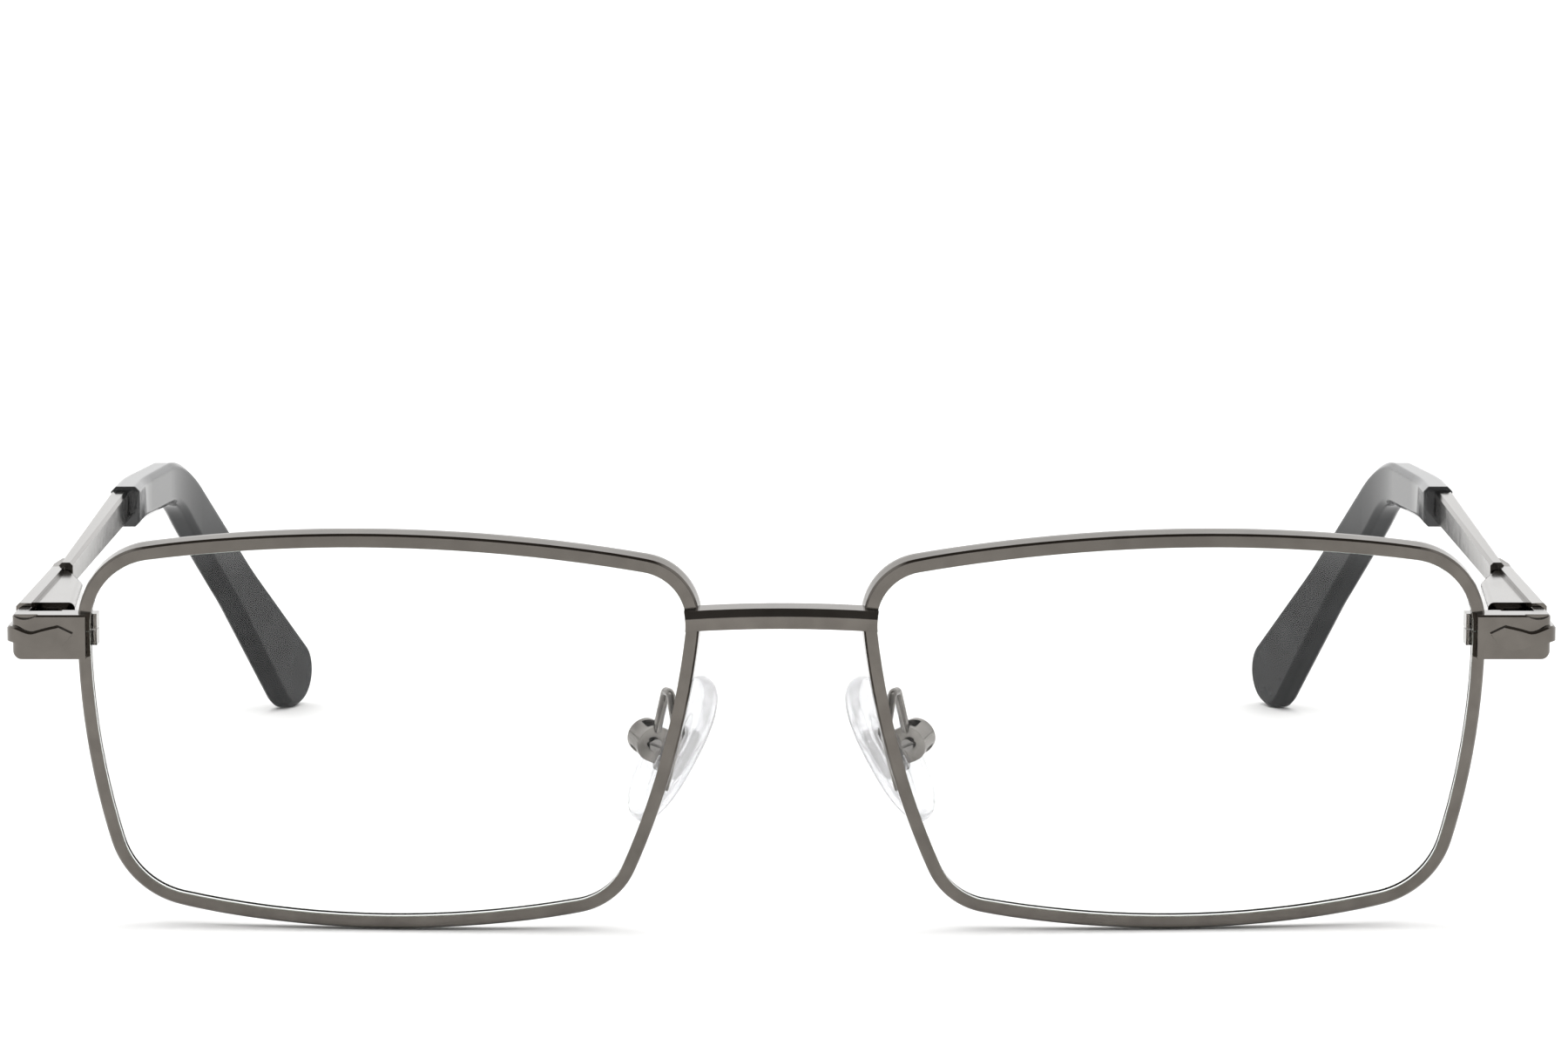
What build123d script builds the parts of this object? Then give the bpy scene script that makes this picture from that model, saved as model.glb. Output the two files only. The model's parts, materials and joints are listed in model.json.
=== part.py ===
from build123d import *
import math
import os

# Rectangular full-rim metal eyeglasses, open, standing on the rims and the temple tips.
# All sizes are in millimetres and degrees.  The front faces -Y, +Z is up and +X is the
# wearer's left.  The left half is modelled and then mirrored to make the right half.

# Rims and lenses
rim_width = 56.2              # across the middle of the rim wire
rim_height = 35.8
rim_thickness = 1.3           # seen from the front
rim_depth = 1.8
rim_bevel = 0.18
rim_draft = 0.12              # slope of the rim's outer side
rim_draft_depth = 1.4
rim_split = 0.12              # saw cut that the closing screw pulls together
groove_depth = 0.45
groove_width = 0.9
groove_chamfer = 0.3
lens_spacing = 72.2           # centre to centre
lens_thickness = 1.5
lens_clearance = 0.05
base_radius = 120.0           # sphere that the lenses and rims follow
rim_tilt = 6                  # degrees, top edge forward
rim_wrap = 3                  # degrees, outer edge back
corner_top_outer = 7.2        # rounding of the four corners
corner_top_inner = 5.5
corner_bottom_inner = 6.0
corner_bottom_outer = 7.5
# corners before rounding, as shares of half the width and half the height
corner_shares = [(0.984, 0.85), (-1.009, 0.819), (-0.734, -0.888), (0.848, -0.867)]
# bulge of the top, inner, bottom and outer sides, as shares of half the size across it
bulge_shares = [0.184, 0.057, 0.1225, 0.056]

# Bridge bar
bridge_height = 1.8
bridge_depth = 2.5
bridge_lap = 1.0              # depth of the notches that take the rims
bridge_arch = 0.33
bridge_middle_z = 29.65
bridge_bevel_height = 0.65
bridge_bevel_depth = 0.5

# End pieces
end_reach = 5.6               # past the rim's outer side
end_lap = 0.5                 # over the rim's front, past its middle line
end_height = 4.05
end_middle_z = 27.27
end_front = 1.3               # front face before the rim's front face
end_thickness = 2.8
end_wing_depth = 2.4          # reach of the outer wing behind the end piece
end_wing_width = 1.25
end_corner = 1.2
end_lower_corner = 0.9
end_bevel = 0.17
end_dip_length = 2.4          # hollow in the top's front edge, at the outer end
end_dip_depth = 0.4
end_dip_reach = 0.6

# Ornamental band on the end piece
relief_height = 0.5
relief_bevel = 0.16
relief_width = 2.1
relief_length = 6.1
# places along the band's length and height, from its outer end and its middle line
relief_upper_shares = [(0, 0.45), (0.13, 0.465), (0.29, 0.305), (0.385, 0.24), (0.48, 0.305),
                       (0.66, 0.44), (0.766, 0.51)]
relief_lower_shares = [(1, 0.18), (0.9, -0.22), (0.74, -0.54), (0.48, -0.457), (0.29, -0.32),
                       (0, -0.18)]

# Closing blocks behind the outer end of each rim
closing_height = 2.9
closing_rise = 0.35           # above the middle of the end piece
closing_reach = 0.7           # past the rim's inner edge, seen through the lens
closing_width = 3.5
closing_depth = 2.1
closing_screw_wall = 0.1
closing_screw_radius = 0.5
closing_head_radius = 0.75
closing_head_height = 0.5

# Hinge
hinge_inset = 2.65            # hinge screw axis inside the end piece's outer face
hinge_back = 4.3              # axis behind the end piece
hinge_height = 2.6
hinge_barrel_radius = 1.12
hinge_leaf_thickness = 0.9
hinge_leaf_width = 2.4
hinge_eye_height = 1.0
hinge_axial_gap = 0.06
hinge_running_gap = 0.04
hinge_screw_radius = 0.5
hinge_head_radius = 0.8
hinge_head_height = 0.35
slot_width = 0.25
slot_depth = 0.2

# Sprung slide inside the temple
housing_inner = 2.15          # inner face beside the hinge axis, at the front
housing_rear_inner = 1.05     # and behind the spring
housing_outer = 1.5
housing_height = 3.9
housing_length = 21.5
housing_gap = 1.6             # housing front behind the hinge axis
housing_corner = 0.6
housing_tail = 6.5            # length of the sloping rear end
housing_tail_thickness = 0.8
slider_width = 1.5
slider_length = 6.0           # axis to the slider's rear face
slider_gap = 0.06
rod_radius = 0.36
rod_length = 9.5
rod_gap = 0.06
shoulder_thickness = 0.9
chamber_radius = 0.84
spring_radius = 0.58
spring_wire = 0.26
spring_turns = 5
retainer_radius = 0.74
retainer_thickness = 0.8

# Temple
plate_thickness = 1.4
plate_height = 4.7
plate_length = 26.5           # hinge axis to the end of the broad front part
plate_taper = 3.5
plate_bevel = 0.3
butt_gap = 0.3
butt_relief = 5               # degrees of outward flex that the butt faces leave free
bar_inset = 0.6               # inside the end piece's outer face
bar_thickness = 1.35
bar_height = 2.4
bar_middle_z = 28.75
bar_bevel = 0.3
bar_length = 70.8             # hinge axis to the tip sleeve
bar_end_height = 3.4          # where the bar enters the sleeve's collar
bar_end_thickness = 1.8

# Temple tip sleeve and the wire core inside it
sleeve_thickness = 3.0
sleeve_height = 4.2
sleeve_inset = 0.4            # sleeve centre inside the bar centre
sleeve_rise = 0.55
sleeve_entry = 7.0            # straight start behind the collar
sleeve_run = 23.5             # collar to the bend
sleeve_run_inset = 2.2
sleeve_run_thickness = 2.6
sleeve_bend_width = 4.5
tip_run = 26.5                # bend to the middle of the round end
tip_inset = 10.2
tip_width = 7.8
tip_neck_width = 5.2
tip_neck_share = 0.55         # where the end begins to widen, of the run behind the bend
tip_thickness = 2.1
bend_radius = 10.0
yaw_radius = 40.0
edge_bevel = 0.5
core_radius = 0.6
core_setback = 3.8            # core starts behind the collar's front
core_end_share = 0.6          # of the sleeve's sloping part
tang_length = 5.0             # flat end of the bar inside the collar
tang_thickness = 0.8
tang_height = 1.8

# Nose pads
pad_length = 15.0
pad_width = 8.0
pad_end_width = 4.6           # before the corners are rounded
pad_thickness = 2.6
pad_corner = 3.0
pad_bevel = 0.9
pad_spacing = 20.2            # between the middles of the two pads, on the nose
pad_y = 10.2
pad_z = 15.6
pad_frontal = 28              # degrees, lower end outward
pad_splay = 29                # degrees, rear edge outward
insert_length = 4.8
insert_width = 1.9
insert_thickness = 0.5
tab_length = 1.7
tab_width = 1.3

# Pad boxes, their screws and the arms that carry them
box_gap = 0.5                 # pad to box, so that the pad can rock
box_length = 3.4
box_depth = 2.7
box_wall = 0.45
box_running_gap = 0.06
pad_screw_depth = 1.0         # screw axis behind the box's open side
pad_screw_radius = 0.35
pad_screw_gap = 0.04
pad_head_radius = 0.6
pad_head_height = 0.35
arm_radius = 0.42
arm_sink = 0.1                # seat of the foot in the rim's back
arm_shift = 0.38              # foot beside the rim's middle line, towards the nose
arm_foot_low = -5.8           # foot ends, below the lens centre
arm_foot_high = -0.9
arm_rise = 4.0                # loop above the foot
arm_loop_back = 1.2
arm_loop_out = 0.7
arm_loop_width = 0.45
arm_bend = 0.5

cut = 90.0                    # overrun for cuts


def mirrored(shape):
    return mirror(shape, about=Plane.YZ)


def largest(shape):
    return max(shape.solids(), key=lambda piece: piece.volume)


def block(x0, x1, y0, y1, z0, z1):
    """Box between two corners."""
    middle = Pos((x0 + x1) / 2, (y0 + y1) / 2, (z0 + z1) / 2)
    return middle * Box(x1 - x0, y1 - y0, z1 - z0)


def upright(radius, x, y, z0, z1):
    """Round bar along Z."""
    return Pos(x, y, (z0 + z1) / 2) * Cylinder(radius, z1 - z0)


def lengthwise(radius, x, z, y0, y1):
    """Round bar along Y."""
    return Pos(x, (y0 + y1) / 2, z) * Rot(90, 0, 0) * Cylinder(radius, y1 - y0)


def polygon(points):
    return Face(Wire.make_polygon([Vector(*point) for point in points], close=True))


def rounded(face, roundings):
    """Round corners of a flat face, each given by a place and a radius."""
    for corner, radius in roundings:
        face = fillet(face.vertices().sort_by_distance(corner)[0], radius).faces()[0]
    return face


# Places that follow from the sizes

rim_outer = rim_thickness / 2
half_width = rim_width / 2
half_height = rim_height / 2
lens_z = (half_height + rim_outer) * math.cos(math.radians(rim_tilt))
lens_place = Pos(lens_spacing / 2, 0, lens_z) * Rot(rim_tilt, 0, 0) * Rot(0, 0, rim_wrap)


def on_rim(across, up, behind=0):
    """Point on the base sphere of the left rim, or some way behind it."""
    sag = base_radius - math.sqrt(base_radius**2 - across**2 - up**2)
    return (lens_place * Pos(across, sag + behind, up)).position


side = on_rim(half_width, end_middle_z - lens_z)
end_outer_x = side.X + rim_outer + end_reach
end_front_y = side.Y - rim_depth / 2 - end_front
end_back_y = end_front_y + end_thickness
wing_back_y = end_back_y + end_wing_depth
wing_inner_x = end_outer_x - end_wing_width
closing_z = end_middle_z + closing_rise
closing_inner_x = side.X - rim_outer - closing_reach
closing_screw_x = side.X + rim_outer + closing_screw_wall + closing_screw_radius
hinge_x = end_outer_x - hinge_inset
hinge_y = end_back_y + hinge_back
housing_inner_x = hinge_x - housing_inner
housing_outer_x = hinge_x + housing_outer
housing_front_y = hinge_y + housing_gap
housing_back_y = housing_front_y + housing_length
slider_back_y = hinge_y + slider_length
shoulder_y = slider_back_y + slider_gap
chamber_y = shoulder_y + shoulder_thickness
retainer_y = slider_back_y + rod_length - retainer_thickness
bar_x = end_outer_x - bar_inset - bar_thickness / 2
collar_y = hinge_y + bar_length
sleeve_x = bar_x - sleeve_inset
sleeve_z = bar_middle_z + sleeve_rise
pad_x = pad_spacing / 2
pad_place = Pos(pad_x, pad_y, pad_z) * Rot(0, -pad_frontal, 0) * Rot(0, 0, -pad_splay)
box_start = pad_thickness / 2 + box_gap
pad_screw_x = box_start + pad_screw_depth
cheek_y = tab_width / 2 + box_running_gap


# Rim and lens

def lens_outline():
    """Middle line of the rim wire, as a face in XY with its outer side at +X."""
    corners = [Vector(a * half_width, b * half_height) for a, b in corner_shares]
    across = [half_height, half_width, half_height, half_width]
    sides = []
    for i, start in enumerate(corners):
        end = corners[(i + 1) % len(corners)]
        outward = (end - start).normalized().rotate(Axis.Z, -90)
        middle = (start + end) / 2 + outward * bulge_shares[i] * across[i]
        sides.append(ThreePointArc(start, middle, end))
    face = Face(Wire(sides))
    radii = [corner_top_outer, corner_top_inner, corner_bottom_inner, corner_bottom_outer]
    return rounded(face, zip(corners, radii))


outline = lens_outline()


def prism(growth):
    """The lens outline, grown by a margin and run through along Y."""
    arcs = []
    for edge in outline.outer_wire().edges():
        points = []
        for along in (0, 0.5, 1):
            outward = (edge % along).cross(Vector(0, 0, 1))
            if outward.dot(edge @ along) < 0:
                outward = -outward
            points.append(edge @ along + outward * growth)
        arcs.append(ThreePointArc(*points))
    return Rot(90, 0, 0) * extrude(Face(Wire(arcs)), cut, both=True)


def curved_slice(shape, depth):
    """What lies within half a depth of the base sphere."""
    shell = Sphere(base_radius + depth / 2) - Sphere(base_radius - depth / 2)
    pieces = (shape & (Pos(0, base_radius, 0) * shell)).solids()
    return min(pieces, key=lambda piece: piece.center().Y)


def bevel_disc(growth, depth):
    """Disc with a bevelled edge: the lens edge, and the groove that takes it."""
    disc = curved_slice(prism(growth), depth)
    return chamfer(disc.faces().filter_by(GeomType.SPHERE).edges(), groove_chamfer)


def make_rim_blank():
    """Rim wire with a sloping outer side and a small bevel round its front."""
    ring = curved_slice(prism(rim_outer) - prism(-rim_outer), rim_depth)
    front = rim_front(ring)
    ring = chamfer(front.outer_wire().edges(), rim_draft, rim_draft_depth, reference=front)
    return lens_place * chamfer(rim_front(ring).outer_wire().edges(), rim_bevel)


def rim_front(ring):
    return min(ring.faces().filter_by(GeomType.SPHERE), key=lambda face: face.center().Y)


def make_rim(blank):
    groove = lens_place * bevel_disc(groove_depth - rim_outer, groove_width)
    saw = block(lens_spacing / 2 + half_width / 2, cut + lens_spacing, -cut, cut,
                closing_z - rim_split / 2, closing_z + rim_split / 2)
    return largest(blank - groove - saw)


def make_lens():
    body = curved_slice(prism(-rim_outer - lens_clearance), lens_thickness)
    bevel = bevel_disc(groove_depth - rim_outer - lens_clearance, groove_width - lens_clearance)
    return largest(lens_place * (body + bevel))


# Bridge

def make_bridge(blank, opening):
    half_length = lens_spacing / 2 - half_width + rim_thickness
    end_z = bridge_height / 2 - bridge_arch
    top = ThreePointArc((-half_length, end_z), (0, bridge_height / 2), (half_length, end_z))
    bottom = top.moved(Pos(0, -bridge_height, 0))
    ends = [Line(top @ 0, bottom @ 0), Line(top @ 1, bottom @ 1)]
    nasal = on_rim(-half_width, bridge_middle_z - lens_z, -rim_depth / 2)
    place = Pos(0, nasal.Y + bridge_lap, bridge_middle_z) * Rot(90 + rim_tilt, 0, 0)
    section = Face(Wire([top, bottom, *ends]))
    bar = place * extrude(section, bridge_depth, dir=(0, 0, 1))
    front = bar.faces().sort_by(Axis.Y)[0]
    upper = front.edges().sort_by(Axis.Z)[-1]
    bar = chamfer(upper, bridge_bevel_height, bridge_bevel_depth, reference=front)
    for keep_out in (blank, opening):
        bar = bar - keep_out - mirrored(keep_out)
    return largest(bar)


# End piece with its ornamental band

def end_plan(growth=0):
    """End piece seen from above, its outer faces moved out by a margin."""
    inner_x = side.X - end_lap
    outer_x = end_outer_x + growth
    front_y = end_front_y - growth
    face = polygon([(inner_x, front_y), (outer_x, front_y), (outer_x, wing_back_y),
                    (wing_inner_x, wing_back_y), (wing_inner_x, end_back_y),
                    (inner_x, end_back_y)])
    return rounded(face, [(Vector(outer_x, front_y), end_corner + growth)])


def end_outline():
    """The end piece seen from the front, its lower outer corner rounded."""
    low = end_middle_z - end_height / 2
    high = end_middle_z + end_height / 2
    face = polygon([(side.X - end_lap, low), (end_outer_x, low), (end_outer_x, high),
                    (side.X - end_lap, high)])
    return rounded(face, [(Vector(end_outer_x, low), end_lower_corner)])


def end_dip():
    """Hollow in the top's front edge, near the outer end."""
    high = end_middle_z + end_height / 2
    middle_x = end_outer_x - end_dip_length / 2
    hollow = ThreePointArc((end_outer_x, high), (middle_x, high - end_dip_depth),
                           (middle_x - end_dip_length / 2, high))
    face = Face(Wire([hollow, Line(hollow @ 1, hollow @ 0)]))
    back = Pos(0, end_front_y + end_dip_reach, 0) * Rot(90, 0, 0)
    return back * extrude(face, cut, dir=(0, 0, 1))


def relief_outline():
    """The band seen from the front: a dip, a crest and a pointed inner end."""
    outer_x = end_outer_x + relief_height

    def place(along, up):
        return Vector(outer_x - along * relief_length, end_middle_z + up * relief_width)

    upper = [place(*share) for share in relief_upper_shares]
    lower = [place(*share) for share in relief_lower_shares]
    return Face(Wire([Spline(*upper), Line(upper[-1], lower[0]), Spline(*lower),
                      Line(lower[-1], upper[0])]))


def end_layer(plan, outline):
    """What a plan and a front view have in common."""
    slab = Pos(0, 0, end_middle_z - end_height / 2) * extrude(plan, end_height, dir=(0, 0, 1))
    return slab & (Rot(90, 0, 0) * extrude(outline, cut, both=True))


def front_face(shape):
    return shape.faces().filter_by(Axis.Y).sort_by(Axis.Y)[0]


def make_end_piece(blank, opening):
    body = end_layer(end_plan(), end_outline())
    top = front_face(body).edges().filter_by(Axis.X).sort_by(Axis.Z)[-1]
    body = chamfer(top, end_bevel) - end_dip()
    band = end_layer(end_plan(relief_height), relief_outline())
    crest = front_face(band).edges().filter_by(GeomType.LINE, reverse=True).sort_by(Axis.Z)[-1]
    band = chamfer(crest, relief_bevel)
    return largest(body + band - blank - opening)


# Closing block, in two halves, with its screw

def closing_room(radius, z0, z1):
    middle_y = end_back_y + closing_depth / 2
    return upright(radius, closing_screw_x, middle_y, z0, z1)


def make_closing_blocks(disc):
    low = closing_z - closing_height / 2
    high = closing_z + closing_height / 2
    whole = block(closing_inner_x, closing_inner_x + closing_width, end_back_y,
                  end_back_y + closing_depth, low, high) - disc
    whole = whole - closing_room(closing_screw_radius, low, high)
    whole = whole - closing_room(closing_head_radius, low, low + closing_head_height)
    saw = block(-cut, cut + lens_spacing, -cut, cut, closing_z - rim_split / 2,
                closing_z + rim_split / 2)
    halves = (whole - saw).solids().sort_by(Axis.Z)
    return halves[0], halves[-1]


def make_closing_screw():
    low = closing_z - closing_height / 2
    shank = closing_room(closing_screw_radius, low, closing_z + closing_height / 2)
    head = closing_room(closing_head_radius, low, low + closing_head_height)
    return slotted(shank + head, closing_head_radius, low, closing_screw_x,
                   end_back_y + closing_depth / 2)


def slotted(screw, head_radius, face_z, x, y):
    """Screw with a straight slot in the head face that lies at a given height."""
    slot = Pos(x, y, face_z) * Box(2 * head_radius, slot_width, 2 * slot_depth)
    return largest(screw - slot)


# Hinge: ears on the end piece, screw, and the slider with the middle eye

def make_hinge_leaf():
    low = end_middle_z - hinge_height / 2
    high = end_middle_z + hinge_height / 2
    x0 = hinge_x - hinge_leaf_width / 2
    x1 = hinge_x + hinge_leaf_width / 2
    leaf = block(x0, x1, end_back_y, hinge_y, low, high)
    leaf = leaf + upright(hinge_barrel_radius, hinge_x, hinge_y, low, high)
    gap = hinge_eye_height / 2 + hinge_axial_gap
    leaf = leaf - block(x0 - cut, x1 + cut, end_back_y + hinge_leaf_thickness,
                        hinge_y + cut, end_middle_z - gap, end_middle_z + gap)
    return largest(leaf - hinge_screw_blank())


def hinge_screw_blank():
    low = end_middle_z - hinge_height / 2
    high = end_middle_z + hinge_height / 2
    shank = upright(hinge_screw_radius, hinge_x, hinge_y, low, high)
    return shank + upright(hinge_head_radius, hinge_x, hinge_y, high - hinge_head_height, high)


def make_hinge_screw():
    return slotted(hinge_screw_blank(), hinge_head_radius,
                   end_middle_z + hinge_height / 2, hinge_x, hinge_y)


def make_slider():
    half = hinge_eye_height / 2
    eye = upright(hinge_barrel_radius, hinge_x, hinge_y, end_middle_z - half,
                  end_middle_z + half)
    shank = block(hinge_x - slider_width / 2, hinge_x + slider_width / 2, hinge_y,
                  slider_back_y, end_middle_z - half, end_middle_z + half)
    rod = lengthwise(rod_radius, hinge_x, end_middle_z, hinge_y + hinge_barrel_radius,
                     slider_back_y + rod_length)
    bore = upright(hinge_screw_radius + hinge_running_gap, hinge_x, hinge_y,
                   end_middle_z - half, end_middle_z + half)
    return largest(eye + shank + rod - bore)


def make_retainer():
    disc = lengthwise(retainer_radius, hinge_x, end_middle_z, retainer_y,
                      retainer_y + retainer_thickness)
    rod = lengthwise(rod_radius, hinge_x, end_middle_z, retainer_y - cut, retainer_y + cut)
    return largest(disc - rod)


def make_spring():
    """Coil of square wire between the shoulder and the retainer."""
    length = retainer_y - chamber_y - spring_wire - 2 * slider_gap
    coil = Helix(length / spring_turns, length, spring_radius)
    start = Plane(origin=coil @ 0, x_dir=(coil @ 0).normalized(), z_dir=coil % 0)
    wire = sweep(start * Rectangle(spring_wire, spring_wire), path=coil, is_frenet=True)
    start_y = chamber_y + slider_gap + spring_wire / 2
    return largest(Pos(hinge_x, start_y, end_middle_z) * Rot(-90, 0, 0) * wire)


def make_housing():
    """Case for the slide, tapered inward and thinned towards its rear end."""
    low = end_middle_z - housing_height / 2
    tail_y = housing_back_y - housing_tail
    plan = polygon([(housing_outer_x, housing_front_y), (housing_inner_x, housing_front_y),
                    (hinge_x - housing_rear_inner, tail_y),
                    (housing_outer_x - housing_tail_thickness, housing_back_y),
                    (housing_outer_x, housing_back_y)])
    shell = Pos(0, 0, low) * extrude(plan, housing_height, dir=(0, 0, 1))
    slopes = shell.edges().filter_by(Plane.XY)
    slopes = slopes.filter_by(Axis.X, reverse=True).filter_by(Axis.Y, reverse=True)
    shell = fillet(slopes, housing_corner)
    half = hinge_eye_height / 2 + slider_gap
    channel = block(hinge_x - slider_width / 2 - slider_gap,
                    hinge_x + slider_width / 2 + slider_gap, housing_front_y, shoulder_y,
                    end_middle_z - half, end_middle_z + half)
    rod = lengthwise(rod_radius + rod_gap, hinge_x, end_middle_z, shoulder_y, chamber_y)
    chamber = lengthwise(chamber_radius, hinge_x, end_middle_z, chamber_y,
                         retainer_y + retainer_thickness + slider_gap)
    return largest(shell - channel - rod - chamber)


# Temple: broad front part, slim bar, and the wire core that the sleeve goes over

def make_plate():
    """The temple's broad front part, stepping down to the bar."""
    front_y = wing_back_y + butt_gap
    end_y = hinge_y + plate_length
    low = end_middle_z - plate_height / 2
    high = end_middle_z + plate_height / 2
    outer_x = housing_outer_x + plate_thickness
    flank = polygon([(front_y, low), (end_y - plate_taper, low),
                     (end_y, bar_middle_z - bar_height / 2),
                     (end_y, bar_middle_z + bar_height / 2), (end_y - plate_taper, high),
                     (front_y, high)])
    plate = Plane.YZ.offset(housing_outer_x) * extrude(flank, plate_thickness, dir=(0, 0, 1))
    plate = chamfer(plate.edges().filter_by(Axis.Y).group_by(Axis.X)[-1], plate_bevel)
    relief = plate_thickness * math.tan(math.radians(butt_relief))
    butt = polygon([(housing_outer_x, front_y), (outer_x, front_y + relief),
                    (outer_x, front_y)])
    step = polygon([(outer_x, end_y - plate_taper), (outer_x, end_y),
                    (bar_x + bar_thickness / 2, end_y)])
    for corner in (butt, step):
        plate = plate - extrude(corner, cut, both=True)
    return plate


def bar_section(x, y, z, thickness, height):
    """Bevelled section of the bar, square to Y."""
    place = Plane(origin=(x, y, z), x_dir=(1, 0, 0), z_dir=(0, 1, 0))
    return place * chamfer(Rectangle(thickness, height).vertices(), bar_bevel)


def make_bar():
    """Slim bar that grows towards the collar of the sleeve, with a flat tang beyond."""
    start_y = housing_back_y + butt_gap
    collar_x = sleeve_x + (sleeve_thickness - bar_end_thickness) / 2
    bar = loft([bar_section(bar_x, start_y, bar_middle_z, bar_thickness, bar_height),
                bar_section(collar_x, collar_y, sleeve_z, bar_end_thickness, bar_end_height)],
               ruled=True)
    tang = block(collar_x - tang_thickness, collar_x, collar_y - tang_length,
                 collar_y + tang_length, sleeve_z - tang_height / 2,
                 sleeve_z + tang_height / 2)
    return bar + tang


def make_temple():
    start = Vector(sleeve_x, collar_y + core_setback, sleeve_z)
    places = sleeve_places()
    last = places[2] + (places[3] - places[2]) * core_end_share
    path = FilletPolyline(start, places[1], places[2], last, radius=[yaw_radius, bend_radius])
    core = sweep(Plane(origin=path @ 0, z_dir=path % 0) * Circle(core_radius), path=path)
    return largest(make_plate() + make_bar() + core)


# Temple tip: a sleeve that runs back, bends in and then down over the ear

def sleeve_places():
    """Middle line: collar, end of the straight start, bend, middle of the round end."""
    collar = Vector(sleeve_x, collar_y, sleeve_z)
    entry = collar + Vector(0, sleeve_entry, 0)
    bend = collar + Vector(-sleeve_run_inset, sleeve_run, 0)
    return collar, entry, bend, Vector(bend.X - tip_inset, bend.Y + tip_run, tip_width / 2)


def strip_sides(places, widths):
    """Corners of both sides of a strip round a bent middle line in a plane."""
    left_side, right_side = [], []
    for i, (place, width) in enumerate(zip(places, widths)):
        before = (place - places[i - 1] if i else places[1] - place).normalized()
        after = (places[i + 1] - place).normalized() if i + 1 < len(places) else before
        square = (before + after).normalized().rotate(Axis.Z, 90)
        square = square * (width / 2 / square.dot(after.rotate(Axis.Z, 90)))
        left_side.append(place + square)
        right_side.append(place - square)
    return left_side, right_side


def tangent_place(place, middle, radius, turn):
    """Where a line from a place touches a circle, on the side that the turn gives."""
    reach = place - middle
    angle = math.degrees(math.acos(radius / reach.length))
    return middle + reach.normalized().rotate(Axis.Z, turn * angle) * radius


def sleeve_flank():
    """Side view, with Y to the right: it widens behind the bend to a round end."""
    collar, _, bend, middle = [Vector(place.Y, place.Z) for place in sleeve_places()]
    neck = bend + (middle - bend) * tip_neck_share
    widths = [sleeve_height, sleeve_bend_width, tip_neck_width, tip_width]
    upper, lower = strip_sides([collar, bend, neck, middle], widths)
    radius = tip_width / 2
    upper[-1] = tangent_place(upper[2], middle, radius, -1)
    lower[-1] = tangent_place(lower[2], middle, radius, 1)
    end = middle + (middle - bend).normalized() * radius
    outline = [*Polyline(*upper).edges(), ThreePointArc(upper[-1], end, lower[-1]),
               *Polyline(*reversed(lower)).edges(), Line(lower[0], upper[0])]
    half_bend = sleeve_bend_width / 2
    return rounded(Face(Wire(outline)), [(upper[1], bend_radius + half_bend),
                                         (lower[1], bend_radius - half_bend),
                                         (upper[2], yaw_radius), (lower[2], yaw_radius)])


def sleeve_plan():
    """View from above, running on past the end."""
    collar, entry, bend, middle = [Vector(place.X, place.Y) for place in sleeve_places()]
    end = middle + (middle - bend).normalized() * tip_width
    widths = [sleeve_thickness, sleeve_thickness, sleeve_run_thickness, tip_thickness]
    inner, outer = strip_sides([collar, entry, bend, end], widths)
    face = polygon([*inner, *reversed(outer)])
    return rounded(face, [(corner, yaw_radius) for corner in (*inner[1:3], *outer[1:3])])


def make_sleeve(temple):
    flank = Plane.YZ * extrude(sleeve_flank(), cut, both=True)
    body = flank & extrude(sleeve_plan(), cut, both=True)
    long_edges = body.edges().filter_by(Axis.X, reverse=True).filter_by(Axis.Z, reverse=True)
    return largest(chamfer(long_edges, edge_bevel) - temple)


# Nose pad, its insert, the box with its screw, and the arm

def make_insert():
    plate = Rot(0, 90, 0) * extrude(SlotOverall(insert_length, insert_width),
                                    insert_thickness / 2, both=True)
    stem = block(0, pad_screw_x, -tab_width / 2, tab_width / 2, -tab_length / 2,
                 tab_length / 2)
    eye = across_box(tab_length / 2, -tab_width / 2, tab_width / 2)
    bore = across_box(pad_screw_radius + pad_screw_gap, -tab_width / 2, tab_width / 2)
    return largest(plate + stem + eye - bore)


def across_box(radius, y0, y1):
    """Round bar along the pad screw axis."""
    return lengthwise(radius, pad_screw_x, 0, y0, y1)


def make_pad(insert):
    """Cushion with bowed long sides and rounded ends."""
    half_end = pad_end_width / 2
    half_length = pad_length / 2
    upper, lower = [ThreePointArc((half_length, up * half_end), (0, up * pad_width / 2),
                                  (-half_length, up * half_end)) for up in (1, -1)]
    face = Face(Wire([upper, lower, Line(upper @ 0, lower @ 0), Line(upper @ 1, lower @ 1)]))
    face = fillet(face.vertices(), pad_corner).faces()[0]
    pad = Rot(0, 90, 0) * extrude(face, pad_thickness / 2, both=True)
    return largest(chamfer(pad.edges(), pad_bevel) - insert)


def make_box():
    """Cup with two cheeks, round on the far side from the pad."""
    outer_y = cheek_y + box_wall
    radius = box_length / 2
    cup = block(box_start, box_start + box_depth - radius, -outer_y, outer_y, -radius, radius)
    back = lengthwise(radius, box_start + box_depth - radius, 0, -outer_y, outer_y)
    room = block(box_start, box_start + box_depth - box_wall, -cheek_y, cheek_y,
                 -radius, radius)
    front = block(box_start - cut, box_start, -cut, cut, -cut, cut)
    screw = across_box(pad_screw_radius, -outer_y, outer_y)
    return largest(cup + back - front - room - screw)


def make_pad_screw():
    outer_y = cheek_y + box_wall
    shank = across_box(pad_screw_radius, -outer_y, outer_y)
    head = across_box(pad_head_radius, -outer_y - pad_head_height, -outer_y)
    slot = Pos(pad_screw_x, -outer_y - pad_head_height, 0) * Box(2 * pad_head_radius,
                                                                2 * slot_depth, slot_width)
    return largest(shank + head - slot)


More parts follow.
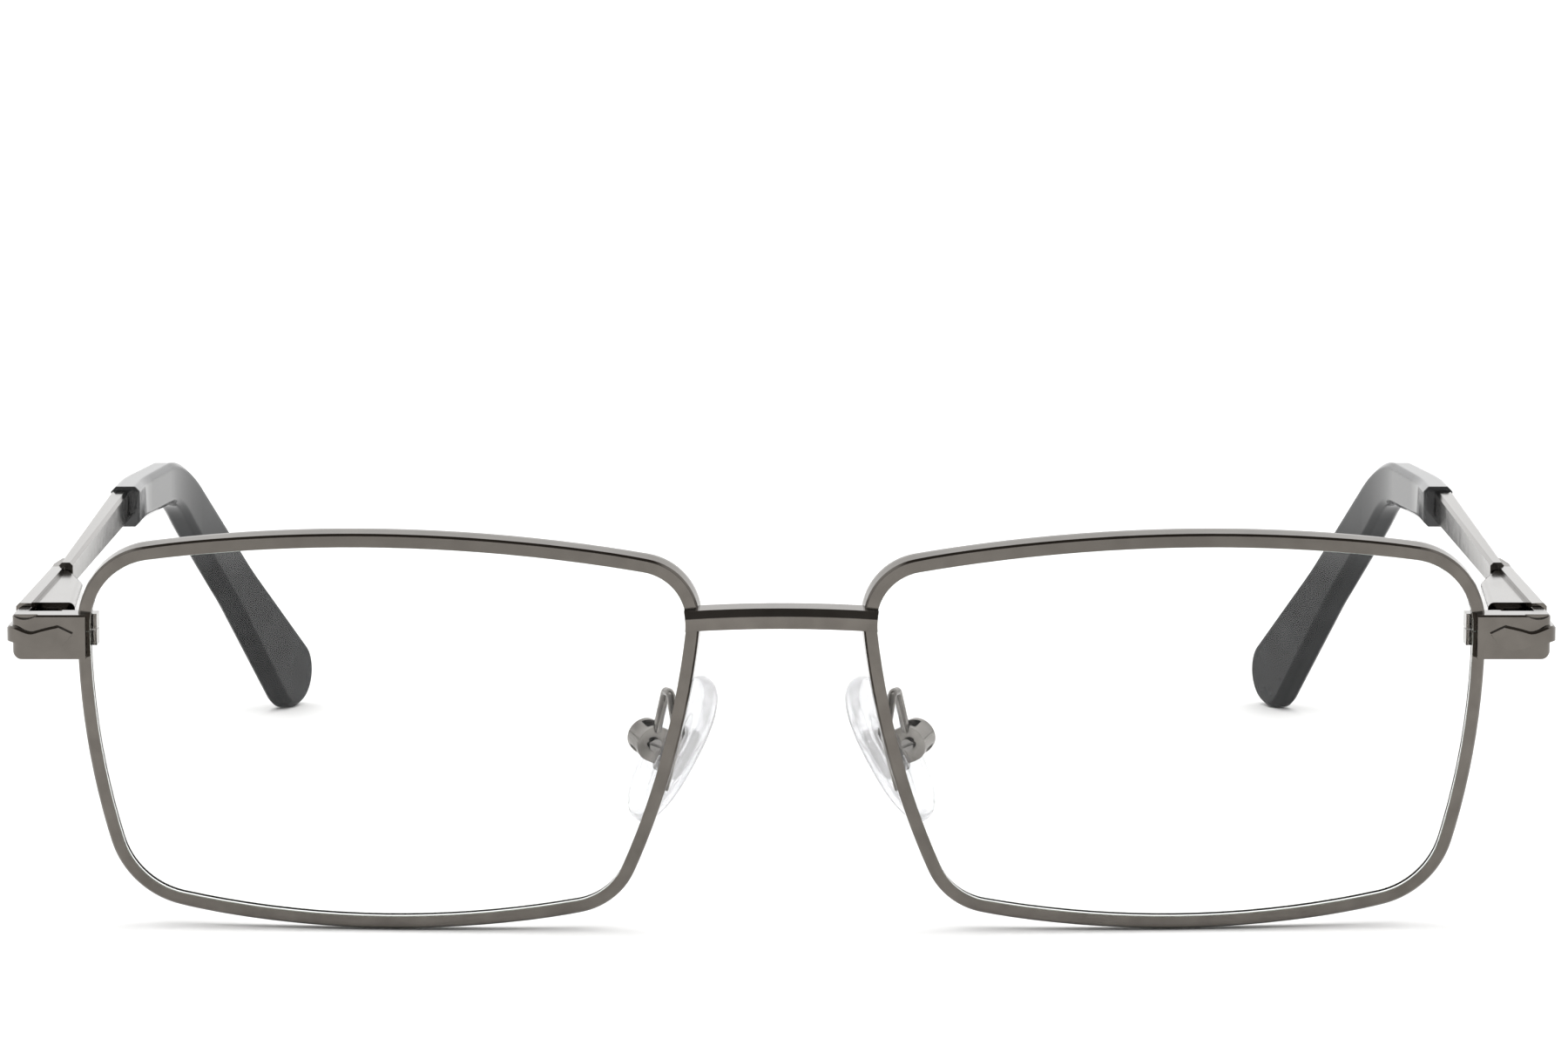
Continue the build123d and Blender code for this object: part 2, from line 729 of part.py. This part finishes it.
def make_arm(blank, box):
    """Wire that lies along the rim's back, rises in a narrow loop and meets the box's cheek."""
    behind = rim_depth / 2 + arm_radius - arm_sink
    low = on_rim(foot_across(arm_foot_low), arm_foot_low, behind)
    high = on_rim(foot_across(arm_foot_high), arm_foot_high, behind)
    rise = high + Vector(arm_loop_out, arm_loop_back, arm_rise)
    over = rise + Vector(arm_loop_width, arm_loop_back, 0)
    cheek_middle = Pos(box_start + box_depth / 2, -cheek_y - box_wall / 2, 0)
    seat = (pad_place * cheek_middle * Pos(0, 0, box_length / 2 - arm_radius)).position
    path = FilletPolyline(low, high, rise, over, seat, radius=arm_bend)
    wire = sweep(Plane(origin=path @ 0, z_dir=path % 0) * Circle(arm_radius), path=path)
    return largest(wire - blank - box)


def foot_across(up):
    """Place of the arm's foot across the rim's inner side, at a height."""
    top, bottom = corner_shares[1], corner_shares[2]
    share = (up / half_height - bottom[1]) / (top[1] - bottom[1])
    across = bottom[0] + (top[0] - bottom[0]) * share - bulge_shares[1]
    return half_width * across - arm_shift


# Assembly

blank = make_rim_blank()
opening = lens_place * prism(-rim_outer)
disc = lens_place * curved_slice(prism(rim_outer), rim_depth)
closing_lower, closing_upper = make_closing_blocks(disc)
insert = make_insert()
pad_box = pad_place * make_box()
temple = make_temple()

left = {
    "rim": make_rim(blank),
    "lens": make_lens(),
    "end_piece": make_end_piece(blank, opening),
    "closing_block_lower": closing_lower,
    "closing_block_upper": closing_upper,
    "closing_screw": make_closing_screw(),
    "hinge_leaf": make_hinge_leaf(),
    "hinge_screw": make_hinge_screw(),
    "hinge_slider": make_slider(),
    "spring_retainer": make_retainer(),
    "hinge_spring": make_spring(),
    "hinge_housing": make_housing(),
    "temple": temple,
    "temple_tip": make_sleeve(temple),
    "nose_pad": pad_place * make_pad(insert),
    "nose_pad_insert": pad_place * insert,
    "nose_pad_box": pad_box,
    "nose_pad_screw": pad_place * make_pad_screw(),
    "nose_pad_arm": make_arm(blank, pad_box),
}

pieces = {"bridge": make_bridge(blank, opening)}
for name, shape in left.items():
    pieces["left_" + name] = shape
    pieces["right_" + name] = mirrored(shape)

# The origin is on the floor, below the middle of the whole.
bounds = Compound(children=[largest(shape) for shape in pieces.values()]).bounding_box()
home = Pos(0, -bounds.center().Y, -bounds.min.Z)
os.makedirs("parts", exist_ok=True)
for name, shape in pieces.items():
    export_step(home * shape, f"parts/{name}.step")

hinge_point = (home * Pos(hinge_x, hinge_y, end_middle_z)).position
pad_point = (home * pad_place * Pos(pad_screw_x, 0, 0)).position
pad_axis = (pad_place * Pos(0, -1, 0)).position - pad_place.position
print("size", bounds.size, "shift", -bounds.center().Y)
print("left hinge axis", hinge_point)
print("left pad screw axis", pad_point, pad_axis)
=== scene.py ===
import json
import math

import bmesh
import bpy
from mathutils import Matrix, Vector


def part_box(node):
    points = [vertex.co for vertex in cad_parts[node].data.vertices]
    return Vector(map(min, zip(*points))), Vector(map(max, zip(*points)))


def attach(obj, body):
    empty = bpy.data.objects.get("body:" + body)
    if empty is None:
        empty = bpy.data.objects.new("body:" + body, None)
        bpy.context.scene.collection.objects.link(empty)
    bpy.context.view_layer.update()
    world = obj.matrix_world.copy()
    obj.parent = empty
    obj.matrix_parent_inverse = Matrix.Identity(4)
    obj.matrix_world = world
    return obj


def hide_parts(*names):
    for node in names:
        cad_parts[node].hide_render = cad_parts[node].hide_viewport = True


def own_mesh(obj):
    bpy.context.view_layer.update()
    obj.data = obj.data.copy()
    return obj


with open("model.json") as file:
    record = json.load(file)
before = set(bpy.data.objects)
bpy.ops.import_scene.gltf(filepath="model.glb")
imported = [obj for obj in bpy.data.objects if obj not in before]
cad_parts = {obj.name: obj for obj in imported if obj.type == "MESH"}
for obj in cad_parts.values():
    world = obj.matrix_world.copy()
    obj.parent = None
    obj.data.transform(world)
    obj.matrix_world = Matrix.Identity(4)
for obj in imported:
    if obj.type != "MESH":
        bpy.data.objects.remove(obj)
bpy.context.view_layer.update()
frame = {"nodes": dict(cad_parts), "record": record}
nodes = frame["nodes"]
scene = bpy.context.scene
MM = 0.001
SIDES = ("left", "right")


# Camera and floor

IMAGE_WIDTH = 1800                          # pixels
FOCAL_PIXELS = 6644.6
SENSOR_WIDTH = 36.0                         # millimetres
CAMERA_PLACE = (0.000235, -0.58588, 0.10605)
CAMERA_PITCH = 82.551                       # degrees from straight down
CLIP_START = 0.01
FLOOR_SIZE = 8.0                            # metres


def make_camera():
    data = bpy.data.cameras.new("camera")
    data.sensor_width = SENSOR_WIDTH
    data.lens = FOCAL_PIXELS / IMAGE_WIDTH * SENSOR_WIDTH
    data.clip_start = CLIP_START
    camera = bpy.data.objects.new("camera", data)
    camera.location = CAMERA_PLACE
    camera.rotation_euler = (math.radians(CAMERA_PITCH), 0, 0)
    scene.collection.objects.link(camera)
    scene.camera = camera


def make_floor():
    mesh = bpy.data.meshes.new("floor")
    half = FLOOR_SIZE / 2
    corners = [(-half, -half, 0), (half, -half, 0), (half, half, 0), (-half, half, 0)]
    mesh.from_pydata(corners, [], [(0, 1, 2, 3)])
    mesh.materials.append(floor_material())
    floor = bpy.data.objects.new("floor", mesh)
    scene.collection.objects.link(floor)


# Shader nodes

WHITE = (1.0, 1.0, 1.0)
NOISE_RANGE = (0.3, 0.7)                    # where nearly all of a noise's values lie
SHADOW_TINT = (0.985, 0.99, 0.985)          # of the light that passes through clear things


def set_inputs(node, inputs):
    for name, value in inputs.items():
        node.inputs[name].default_value = value


def new_material(name, inputs):
    """A material, its nodes and links, and its surface with some inputs set."""
    material = bpy.data.materials.new(name)
    material.use_nodes = True
    tree, links = material.node_tree.nodes, material.node_tree.links
    surface = tree["Principled BSDF"]
    set_inputs(surface, inputs)
    return material, tree, links, surface


def add(tree, kind, inputs, **settings):
    """A new node, with some of its inputs and settings set."""
    node = tree.new(kind)
    set_inputs(node, inputs)
    for name, value in settings.items():
        setattr(node, name, value)
    return node


def noise(tree, links, scale, detail=3.0):
    """Noise in the object's own metres."""
    place = tree.new("ShaderNodeTexCoord")
    texture = add(tree, "ShaderNodeTexNoise", {"Scale": scale, "Detail": detail})
    links.new(place.outputs["Object"], texture.inputs["Vector"])
    return texture.outputs["Fac"]


def colours(tree, links, factor, ends, over=NOISE_RANGE):
    """Colours between two, as a factor goes over a range."""
    node = tree.new("ShaderNodeValToRGB")
    for stop, position, colour in zip(node.color_ramp.elements, over, ends):
        stop.position = position
        stop.color = (*colour, 1)
    links.new(factor, node.inputs["Fac"])
    return node.outputs["Color"]


def levels(tree, links, factor, ends, over=NOISE_RANGE, shape="LINEAR"):
    """Numbers between two, as a factor goes over a range."""
    limits = {"From Min": over[0], "From Max": over[1], "To Min": ends[0], "To Max": ends[1]}
    node = add(tree, "ShaderNodeMapRange", limits, interpolation_type=shape)
    links.new(factor, node.inputs["Value"])
    return node.outputs["Result"]


def eased(tree, links, factor, ends, over):
    return levels(tree, links, factor, ends, over, "SMOOTHSTEP")


def product(tree, links, first, second):
    node = add(tree, "ShaderNodeMath", {}, operation="MULTIPLY")
    links.new(first, node.inputs[0])
    links.new(second, node.inputs[1])
    return node.outputs["Value"]


def axes(tree, links, vector):
    """The X, Y and Z of a vector."""
    split = tree.new("ShaderNodeSeparateXYZ")
    links.new(vector, split.inputs["Vector"])
    return split.outputs


def bump(tree, links, relief, strength, distance, normal=None):
    node = add(tree, "ShaderNodeBump", {"Strength": strength, "Distance": distance})
    links.new(relief, node.inputs["Height"])
    if normal is not None:
        links.new(normal, node.inputs["Normal"])
    return node.outputs["Normal"]


def rounded_edges(tree, radius, samples=4):
    node = add(tree, "ShaderNodeBevel", {"Radius": radius}, samples=samples)
    return node.outputs["Normal"]


def partly_clear(tree, links, shader, colour):
    """A node that mixes the shader with plain clearness."""
    clear = add(tree, "ShaderNodeBsdfTransparent", {"Color": (*colour, 1)})
    mix = tree.new("ShaderNodeMixShader")
    links.new(shader, mix.inputs[1])
    links.new(clear.outputs["BSDF"], mix.inputs[2])
    return mix


def let_light_through(tree, links, shader):
    """Clear things cast next to no shadow."""
    path = tree.new("ShaderNodeLightPath")
    mix = partly_clear(tree, links, shader, SHADOW_TINT)
    links.new(path.outputs["Is Shadow Ray"], mix.inputs["Fac"])
    links.new(mix.outputs["Shader"], tree["Material Output"].inputs["Surface"])


# Plated metal

GUNMETAL = {"tones": ((0.128, 0.117, 0.105), (0.158, 0.145, 0.13)), "rough": (0.1, 0.15),
            "edge": 0.00006}
# the fine pieces and the steel get painted shade in their corners, reaching the last distance
# given
FINE_GUNMETAL = {"tones": ((0.13, 0.121, 0.112), (0.28, 0.268, 0.252)), "rough": (0.08, 0.12),
                 "edge": 0.00001, "corner_shade": 0.0009}
STEEL = {"tones": ((0.2, 0.193, 0.185), (0.27, 0.262, 0.254)), "rough": (0.1, 0.18),
         "edge": 0.00002, "corner_shade": 0.0005}
METAL_CLOUDS = 420                          # scales of the noises
METAL_WAVES, METAL_WAVE_DETAIL = 700, 1.0
METAL_WAVE_STRENGTH, METAL_WAVE_DEPTH = 0.1, 0.00002
# Painted shade in corners, from an occlusion node
CORNER_SHADE_SAMPLES = 6
CORNER_SHADE_RANGE = (0.25, 0.85)                  # how open a corner is, from full painted shade to none
CORNER_SHADE_TONE = (0.12, 0.12, 0.12)


def painted_corner_shade(tree, links, colour, reach):
    """The colour with painted shade, darker in the corners that open less than a reach."""
    corners = add(tree, "ShaderNodeAmbientOcclusion", {"Distance": reach},
                  samples=CORNER_SHADE_SAMPLES)
    shade = colours(tree, links, corners.outputs["AO"], (CORNER_SHADE_TONE, WHITE), CORNER_SHADE_RANGE)
    mix = tree.new("ShaderNodeMix")
    mix.data_type, mix.blend_type = "RGBA", "MULTIPLY"
    mix.inputs["Factor"].default_value = 1.0
    links.new(colour, mix.inputs["A"])
    links.new(shade, mix.inputs["B"])
    return mix.outputs["Result"]


def metal(name, tones, rough, edge, corner_shade=0):
    """Polished plating: cloudy tone, long shallow waves, softly rounded edges and, where
    asked, painted shade in the corners.
    """
    material, tree, links, surface = new_material(name, {"Metallic": 1.0})
    clouds = noise(tree, links, METAL_CLOUDS)
    waves = noise(tree, links, METAL_WAVES, METAL_WAVE_DETAIL)
    colour = colours(tree, links, clouds, tones)
    # painted shade in the corners
    if corner_shade:
        colour = painted_corner_shade(tree, links, colour, corner_shade)
    links.new(colour, surface.inputs["Base Color"])
    links.new(levels(tree, links, clouds, rough), surface.inputs["Roughness"])
    normal = bump(tree, links, waves, METAL_WAVE_STRENGTH, METAL_WAVE_DEPTH,
                  rounded_edges(tree, edge))
    links.new(normal, surface.inputs["Normal"])
    return material


# Lenses and pads

LENS_IOR = 1.22                             # low, for a coating against reflections
LENS_EDGE_TINT = (0.66, 0.8, 0.7)
LENS_FACE_TINT = (0.998, 1.0, 0.998)
LENS_TURN = (0.55, 0.85)                    # how far a surface faces forward, edge to face
LENS_SMUDGES = 90
LENS_ROUGH = (0.0, 0.012)
SILICONE_IOR = 1.41
SILICONE_TONES = ((0.74, 0.75, 0.77), (0.86, 0.87, 0.88))
SILICONE_ROUGH = (0.03, 0.12)
SILICONE_HAZE = 500
SILICONE_WAVES = 260
SILICONE_WAVE_STRENGTH, SILICONE_WAVE_DEPTH = 0.25, 0.0003
SILICONE_CLEARNESS = 0.3                    # the share that is plain clear
SILICONE_CLEAR_TINT = (0.9, 0.9, 0.91)


def lens_material():
    """Clear lens, coated against reflections and faintly green through its edge."""
    material, tree, links, surface = new_material(
        "lens", {"Transmission Weight": 1.0, "IOR": LENS_IOR})
    geometry = tree.new("ShaderNodeNewGeometry")
    forward = add(tree, "ShaderNodeMath", {}, operation="ABSOLUTE")
    links.new(axes(tree, links, geometry.outputs["Normal"])["Y"], forward.inputs[0])
    tint = colours(tree, links, forward.outputs["Value"], (LENS_EDGE_TINT, LENS_FACE_TINT),
                   LENS_TURN)
    links.new(tint, surface.inputs["Base Color"])
    smudges = noise(tree, links, LENS_SMUDGES)
    links.new(levels(tree, links, smudges, LENS_ROUGH), surface.inputs["Roughness"])
    let_light_through(tree, links, surface.outputs["BSDF"])
    return material


def silicone():
    """Clear soft pad, hazy and a little wavy."""
    material, tree, links, surface = new_material(
        "pad", {"Transmission Weight": 1.0, "IOR": SILICONE_IOR})
    haze = noise(tree, links, SILICONE_HAZE)
    links.new(colours(tree, links, haze, SILICONE_TONES), surface.inputs["Base Color"])
    links.new(levels(tree, links, haze, SILICONE_ROUGH), surface.inputs["Roughness"])
    waves = noise(tree, links, SILICONE_WAVES)
    normal = bump(tree, links, waves, SILICONE_WAVE_STRENGTH, SILICONE_WAVE_DEPTH)
    links.new(normal, surface.inputs["Normal"])
    soft = partly_clear(tree, links, surface.outputs["BSDF"], SILICONE_CLEAR_TINT)
    soft.inputs["Fac"].default_value = SILICONE_CLEARNESS
    let_light_through(tree, links, soft.outputs["Shader"])
    return material


# Temple tips

TIP_IOR = 1.52
TIP_TONES = ((0.008, 0.0085, 0.009), (0.016, 0.017, 0.018))
TIP_CLOUDS = 260
TIP_SKIN, TIP_SKIN_DETAIL = 1800, 1.5
TIP_SKIN_STRENGTH, TIP_SKIN_DEPTH = 0.05, 0.00001
TIP_EDGE, TIP_EDGE_SAMPLES = 0.0005, 8
TIP_DIM_TO_GLOSSY = (0.016, 0.031)                   # heights, from dim to glossy; the dim, weakly reflecting end is painted shade
TIP_SPECULAR = (0.06, 0.7)                  # over those heights
TIP_ROUGH = (0.26, 0.07)


def black_plastic():
    """Moulded tip: glossy by the collar, satin towards the end, its reflection turned down
    there as painted shade.
    """
    material, tree, links, surface = new_material("tip", {"IOR": TIP_IOR})
    place = tree.new("ShaderNodeTexCoord")
    height = axes(tree, links, place.outputs["Object"])["Z"]
    # reflection strength set by height: painted shade on the lower tip
    for name, ends in (("Specular IOR Level", TIP_SPECULAR), ("Roughness", TIP_ROUGH)):
        links.new(eased(tree, links, height, ends, TIP_DIM_TO_GLOSSY), surface.inputs[name])
    clouds = noise(tree, links, TIP_CLOUDS)
    links.new(colours(tree, links, clouds, TIP_TONES), surface.inputs["Base Color"])
    skin = noise(tree, links, TIP_SKIN, TIP_SKIN_DETAIL)
    normal = bump(tree, links, skin, TIP_SKIN_STRENGTH, TIP_SKIN_DEPTH,
                  rounded_edges(tree, TIP_EDGE, TIP_EDGE_SAMPLES))
    links.new(normal, surface.inputs["Normal"])
    return material


# Floor cloth

FLOOR_TONES = ((0.94, 0.94, 0.936), (0.955, 0.955, 0.952))
FLOOR_CLOUDS = 40
FLOOR_ROUGH, FLOOR_SPECULAR = 0.9, 0.1


def floor_material():
    material, tree, links, surface = new_material(
        "floor", {"Roughness": FLOOR_ROUGH, "Specular IOR Level": FLOOR_SPECULAR})
    cloth = noise(tree, links, FLOOR_CLOUDS)
    links.new(colours(tree, links, cloth, FLOOR_TONES), surface.inputs["Base Color"])
    return material


# Light: a white room with a dark canopy above the front, brighter behind the glasses
# and dimmer before them. Directions are unit vectors: Y is towards the back, Z up.

CANOPY_TONE = (0.13, 0.115, 0.1)
CANOPY_RISE = (0.72, 0.86)                  # Z, from its rim to its full depth
CANOPY_REACH = (0.0, 0.2)                   # Y, where it fades over the glasses
BACK_RANGE, BACK_GLOW = (0.1, 0.7), 1.35
FRONT_RANGE, FRONT_DIM = (-0.7, -0.1), 0.4
LAMP_PLACE = (0, -0.2, 1.6)
LAMP_SIZE, LAMP_POWER = 2.2, 14.0
FILL_STRENGTH, FILL_SPREAD = 1.0, 100       # the spread in degrees


def make_world():
    world = bpy.data.worlds.new("studio")
    world.use_nodes = True
    scene.world = world
    tree, links = world.node_tree.nodes, world.node_tree.links
    background = tree["Background"]
    place = tree.new("ShaderNodeTexCoord")
    direction = axes(tree, links, place.outputs["Generated"])
    above = eased(tree, links, direction["Z"], (0, 1), CANOPY_RISE)
    ahead = eased(tree, links, direction["Y"], (1, 0), CANOPY_REACH)
    canopy = product(tree, links, above, ahead)
    sky = colours(tree, links, canopy, (WHITE, CANOPY_TONE), (0, 1))
    links.new(sky, background.inputs["Color"])
    back = eased(tree, links, direction["Y"], (1, BACK_GLOW), BACK_RANGE)
    front = eased(tree, links, direction["Y"], (FRONT_DIM, 1), FRONT_RANGE)
    links.new(product(tree, links, back, front), background.inputs["Strength"])


def add_lamp(name, kind, power, place):
    """A lamp that isn't mirrored in the metal. Gives its data."""
    data = bpy.data.lights.new(name, kind)
    data.energy = power
    lamp = bpy.data.objects.new(name, data)
    lamp.location = place
    lamp.visible_glossy = False
    scene.collection.objects.link(lamp)
    return data


def make_light():
    make_world()
    add_lamp("softbox", "AREA", LAMP_POWER, LAMP_PLACE).size = LAMP_SIZE
    add_lamp("fill", "SUN", FILL_STRENGTH, (0, 0, 0)).angle = math.radians(FILL_SPREAD)


# Shaped meshes

def circle(steps):
    """The angles of evenly spaced points round a circle."""
    return [2 * math.pi * i / steps for i in range(steps)]


def join_rings(mesh, rings):
    """Faces between each ring of corners and the next."""
    steps = len(rings[0])
    for a, b in zip(rings, rings[1:]):
        for i in range(steps):
            j = (i + 1) % steps
            mesh.faces.new((a[i], b[i], b[j], a[j]))


def finish_mesh(mesh, name, material):
    """The object with this mesh, smoothly shaded."""
    bmesh.ops.recalc_face_normals(mesh, faces=mesh.faces)
    data = bpy.data.meshes.new(name)
    mesh.to_mesh(data)
    mesh.free()
    data.shade_smooth()
    data.materials.append(MATERIALS[material])
    made = bpy.data.objects.new(name, data)
    scene.collection.objects.link(made)
    return made


# Nose pads

PAD_CENTRE = Vector((10.1, -55.8795, 15.6)) * MM
PAD_FRONTAL, PAD_SPLAY = -28, -29           # degrees, seen from the front and from above
PAD_HALF_LENGTH, PAD_HALF_WIDTH = 7.5, 4.0  # millimetres
PAD_ROUNDNESS = 2.5                         # 2 is an ellipse, more is squarer
# from the middle of the face that rests on the nose round to the back: share of the
# outline, and depth in millimetres
PAD_PROFILE = [(0.0, -1.3), (0.35, -1.26), (0.65, -1.12), (0.85, -0.85), (0.96, -0.45),
               (1.0, 0.05), (0.965, 0.5), (0.88, 0.75), (0.72, 0.78), (0.6, 0.95),
               (0.5, 1.25), (0.3, 1.3), (0.0, 1.3)]
PAD_STEPS = 56


def pad_rings():
    for share, depth in PAD_PROFILE[1:-1]:
        ring = []
        for angle in circle(PAD_STEPS):
            c, s = math.cos(angle), math.sin(angle)
            reach = (abs(c) ** PAD_ROUNDNESS + abs(s) ** PAD_ROUNDNESS) ** (-1 / PAD_ROUNDNESS)
            ring.append(Vector((depth, PAD_HALF_WIDTH * share * reach * c,
                                PAD_HALF_LENGTH * share * reach * s)))
        yield ring


def make_pad(side):
    place = (Matrix.Translation(PAD_CENTRE)
             @ Matrix.Rotation(math.radians(PAD_FRONTAL), 4, "Y")
             @ Matrix.Rotation(math.radians(PAD_SPLAY), 4, "Z"))
    if side == "right":
        place = Matrix.Scale(-1, 4, (1, 0, 0)) @ place
    mesh = bmesh.new()
    rings = [[mesh.verts.new(place @ (v * MM)) for v in ring] for ring in pad_rings()]
    first, last = [mesh.verts.new(place @ (Vector((PAD_PROFILE[end][1], 0, 0)) * MM))
                   for end in (0, -1)]
    for i in range(PAD_STEPS):
        j = (i + 1) % PAD_STEPS
        mesh.faces.new((first, rings[0][i], rings[0][j]))
        mesh.faces.new((last, rings[-1][j], rings[-1][i]))
    join_rings(mesh, rings)
    pad = finish_mesh(mesh, f"{side}_soft_pad", "pad")
    pad.modifiers.new("smooth", "SUBSURF").render_levels = 1
    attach(pad, f"{side}_pad")
    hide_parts(f"{side}_nose_pad")


# Hinge springs: round wire; in the real hinge it shortens as the temple flexes outward, here
# it is a fixed coil that moves with the temple arm

SPRING_TURNS = 5
SPRING_STEPS = 24                           # round each turn
WIRE_STEPS = 10
WIRE_RADIUS = 0.00013


def coil_rings(low, high):
    """Rings of corners round the wire, along a coil that fills a box."""
    radius = (high.x - low.x) / 2 - WIRE_RADIUS
    length = high.y - low.y - 2 * WIRE_RADIUS
    centre = Vector(((low.x + high.x) / 2, low.y + WIRE_RADIUS, (low.z + high.z) / 2))
    slope = math.atan2(length, SPRING_TURNS * 2 * math.pi * radius)
    last = SPRING_TURNS * SPRING_STEPS
    for i in range(last + 1):
        angle = 2 * math.pi * i / SPRING_STEPS
        out = Vector((math.cos(angle), 0, math.sin(angle)))
        along = Vector((-math.sin(angle), 0, math.cos(angle)))
        across = Vector((0, math.cos(slope), 0)) - along * math.sin(slope)
        middle = centre + Vector((0, length * i / last, 0)) + out * radius
        yield [middle + (out * math.cos(t) + across * math.sin(t)) * WIRE_RADIUS
               for t in circle(WIRE_STEPS)]


def make_spring(side):
    low, high = [Vector(corner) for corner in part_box(f"{side}_hinge_spring")]
    mesh = bmesh.new()
    rings = [[mesh.verts.new(point) for point in ring] for ring in coil_rings(low, high)]
    join_rings(mesh, rings)
    mesh.faces.new(rings[0])
    mesh.faces.new(rings[-1])
    spring = finish_mesh(mesh, f"{side}_coil", "steel")
    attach(spring, f"{side}_temple_arm")
    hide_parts(f"{side}_hinge_spring")
    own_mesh(spring)


# Assembly

FINE_PIECES = ("nose_pad_box", "nose_pad_arm")
MATERIALS = {
    "gunmetal": metal("gunmetal", **GUNMETAL),
    "fine": metal("gunmetal_fine", **FINE_GUNMETAL),
    "steel": metal("steel", **STEEL),
    "lens": lens_material(),
    "pad": silicone(),
    "tip": black_plastic(),
}

for part in frame["record"]["subparts"]:
    data = nodes[part["node"]].data
    data.materials.clear()
    fine = part["node"].endswith(FINE_PIECES)
    data.materials.append(MATERIALS["fine" if fine else part["material_slot"]])

for side in SIDES:
    make_pad(side)
    make_spring(side)

make_camera()
make_floor()
make_light()
scene.view_settings.view_transform = "Standard"

bpy.context.view_layer.update()
